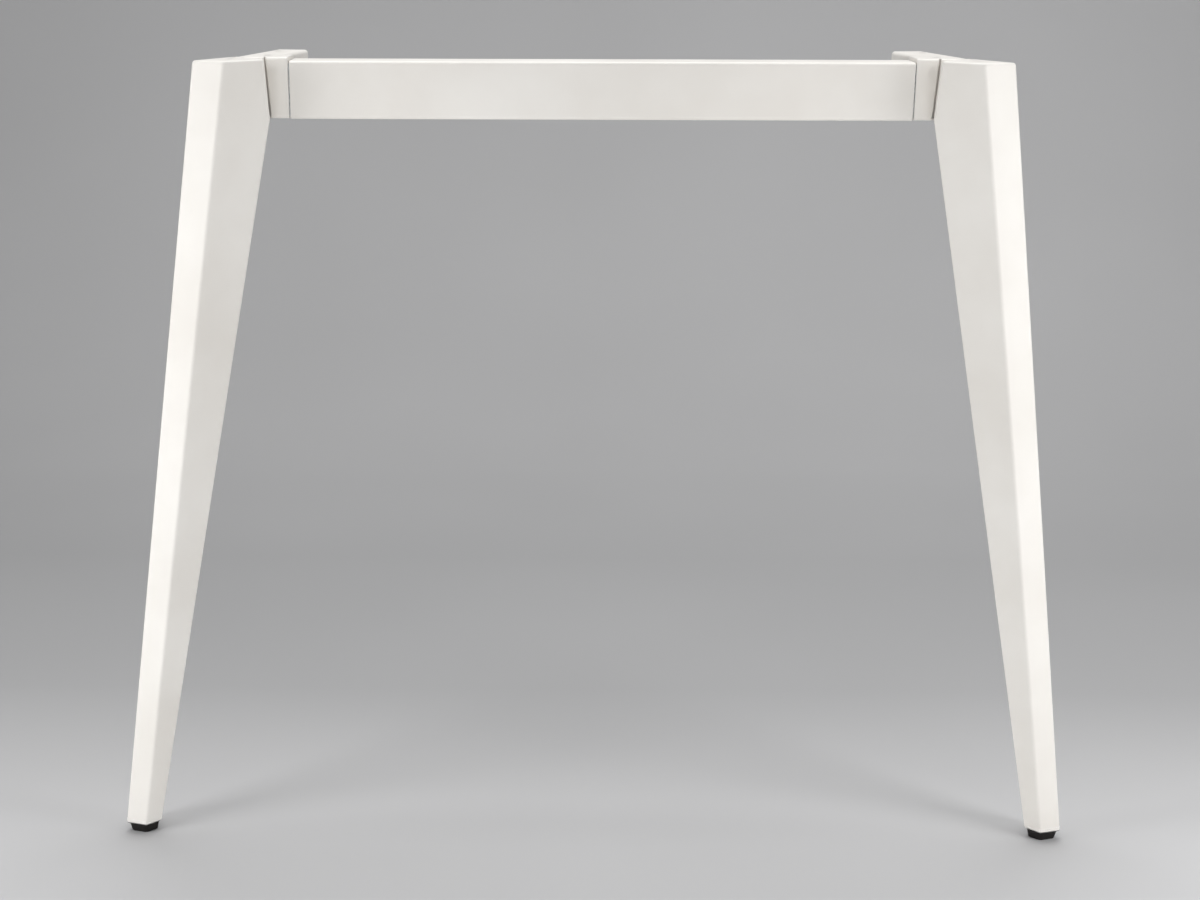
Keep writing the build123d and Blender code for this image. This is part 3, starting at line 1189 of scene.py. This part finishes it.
@dataclass
class Studio:
    """Floor, backdrop, lamps and camera."""

    floor_half: float = 6.0
    wall_y: float = 2.6
    wall_height: float = 5.0
    sweep_radius: float = 1.4
    sweep_steps: int = 24
    grid_angle: float = 1.0
    wide_grid_angle: float = 1.2
    cross_power: tuple[float, float] = (0.95, 0.5)
    fill_strength: float = 0.20
    camera_place: tuple[float, float, float] = (-0.034065, -1.715420, 0.812098)
    camera_right: tuple[float, float, float] = (0.99986038, 0.01660042, 0.00190768)
    camera_up: tuple[float, float, float] = (-0.00686926, 0.30427692, 0.95255885)
    camera_ahead: tuple[float, float, float] = (-0.01523241, 0.95243897, -0.30434847)
    lens: float = 58.349
    shift_x: float = 0.060018
    shift_y: float = 0.090002

    def backdrop(self) -> None:
        """Models a floor that sweeps up into the wall behind, from one extruded edge."""
        bpy.ops.object.select_all(action="DESELECT")
        bpy.ops.mesh.primitive_plane_add(size=1, location=(0, 0, 0))
        paper = bpy.context.active_object
        bpy.ops.object.mode_set(mode="EDIT")
        bpy.ops.mesh.select_all(action="SELECT")
        front = -self.floor_half
        back = self.wall_y - self.sweep_radius
        bpy.ops.transform.resize(value=(2 * self.floor_half, back - front, 1))
        bpy.ops.transform.translate(value=(0, (front + back) / 2, 0))
        bpy.ops.mesh.select_all(action="DESELECT")
        bpy.ops.object.mode_set(mode="OBJECT")
        for vertex in paper.data.vertices:
            vertex.select = vertex.co.y > back - 0.001
        bpy.ops.object.mode_set(mode="EDIT")
        bpy.ops.mesh.select_mode(type="EDGE")
        last = Vector((0, back, 0))
        for i in range(1, self.sweep_steps + 1):
            angle = math.pi / 2 * i / self.sweep_steps
            reach = self.sweep_radius * math.sin(angle)
            rise = self.sweep_radius * (1 - math.cos(angle))
            spot = Vector((0, back + reach, rise))
            bpy.ops.mesh.extrude_region_move(TRANSFORM_OT_translate={"value": spot - last})
            last = spot
        bpy.ops.mesh.extrude_region_move(TRANSFORM_OT_translate={"value": (0, 0, self.wall_height)})
        bpy.ops.object.mode_set(mode="OBJECT")
        bpy.ops.object.shade_smooth()
        paper.name = "studio_paper"
        paper.data.materials.append(StudioPaper().material())
        log.info("built studio_paper")

    def lights(self) -> None:
        """Places soft boxes before and beside each leg, overhead and in front, and an even fill."""
        boxes = [
            SoftBox(
                "overhead_box", place=(0, 0.5, 2.6), aim=(0, 0, 0.5), size=(2.0, 1.2), power=46.0
            ),
            SoftBox(
                "front_box", place=(0, -3.2, 1.0), aim=(0, 0, 0.4), size=(2.4, 1.8), power=12.0
            ),
        ]
        for side, cross_power in zip(Side, self.cross_power):
            near = side.value
            word = side.word
            boxes += [
                SoftBox(
                    f"{word}_top_box",
                    place=(near * 0.45, -0.75, 0.88),
                    aim=(near * 0.30, -0.05, 0.66),
                    size=(0.2, 0.3),
                    power=0.095,
                    spread=self.grid_angle,
                ),
                SoftBox(
                    f"{word}_leg_box",
                    place=(near * 0.95, -0.5, 0.80),
                    aim=(near * 0.34, -0.08, 0.62),
                    size=(0.35, 0.7),
                    power=2.7,
                ),
                SoftBox(
                    f"{word}_foot_box",
                    place=(near * 1.05, -0.45, 0.25),
                    aim=(near * 0.42, -0.05, 0.25),
                    size=(0.35, 0.5),
                    power=2.35,
                ),
                SoftBox(
                    f"{word}_cross_box",
                    place=(near * 0.8, -1.3, 0.1),
                    aim=(near * -0.42, -0.03, 0.05),
                    size=(0.5, 0.25),
                    power=cross_power,
                    spread=self.wide_grid_angle,
                ),
            ]
        for box in boxes:
            box.build()
        world = bpy.data.worlds.new("studio_fill")
        world.use_nodes = True
        fill = world.node_tree.nodes["Background"]
        fill.inputs["Color"].default_value = (1, 1, 1, 1)
        fill.inputs["Strength"].default_value = self.fill_strength
        bpy.context.scene.world = world

    def camera(self) -> None:
        """Places the camera that was fitted to the photograph."""
        data = bpy.data.cameras.new("camera")
        data.lens = self.lens
        data.sensor_width = 36.0
        data.shift_x = self.shift_x
        data.shift_y = self.shift_y
        data.clip_end = 100.0
        lookout = bpy.data.objects.new("camera", data)
        right = Vector(self.camera_right)
        up = Vector(self.camera_up)
        ahead = Vector(self.camera_ahead)
        axes = Matrix((right, up, -ahead)).transposed().to_4x4()
        lookout.matrix_world = Matrix.Translation(Vector(self.camera_place)) @ axes
        bpy.context.scene.collection.objects.link(lookout)
        bpy.context.scene.camera = lookout

    def build(self) -> None:
        """Sets up the whole studio."""
        self.backdrop()
        self.lights()
        self.camera()
        bpy.context.scene.view_settings.view_transform = "Standard"


def main() -> None:
    """Builds the studio and every part of the frame, in order."""
    logging.basicConfig(level=logging.INFO, format="%(message)s")
    Studio().build()
    finishes = Finishes()
    for side in Side:
        leg = Leg(side)
        leg.build(finishes)
        Foot(leg).build(finishes)
        RearArm(leg).build(finishes)
        Collar(side).build(finishes)
    Beam().build(finishes)
    Fasteners().build(finishes)


if __name__ == "__main__":
    main()
